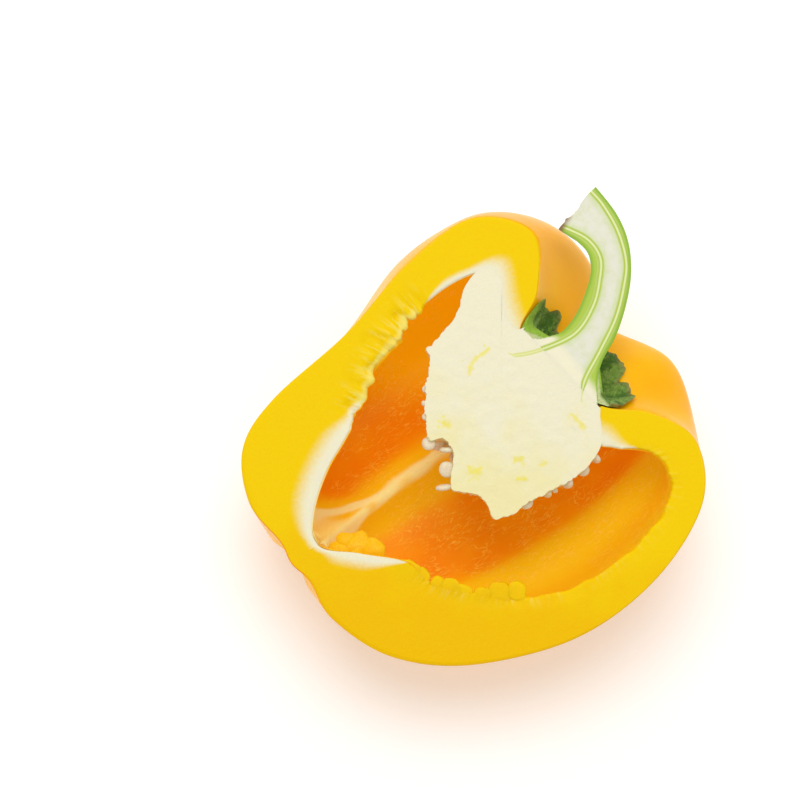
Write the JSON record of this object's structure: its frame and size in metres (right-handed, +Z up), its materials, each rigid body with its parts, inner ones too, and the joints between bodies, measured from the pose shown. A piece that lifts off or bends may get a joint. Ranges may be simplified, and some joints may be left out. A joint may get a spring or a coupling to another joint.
{
  "type": "bell pepper half",
  "caption": "Half of a yellow bell pepper cut lengthwise, with a thick glossy wall, ribs, pale seed core, seeds, calyx and curved stem.",
  "frame": {"origin": "centre of the bounding box in plan, at the height of the surface it rests on", "axes": "+X from the blossom end towards the stem, +Y towards the narrow edge of the cut, +Z up out of the cut face"},
  "size_m": [0.096, 0.0888, 0.0467],
  "materials": {
    "pepper_flesh": "glossy waxy skin, moist cut flesh",
    "seed_core": "moist, spongy, satin",
    "calyx": "leathery, matt",
    "stem": "satin, moist where cut"
  },
  "bodies": {
    "root": {"fruit_wall": "pepper_flesh", "seed_core": "seed_core", "calyx": "calyx", "stem": "stem"}
  },
  "joints": []
}
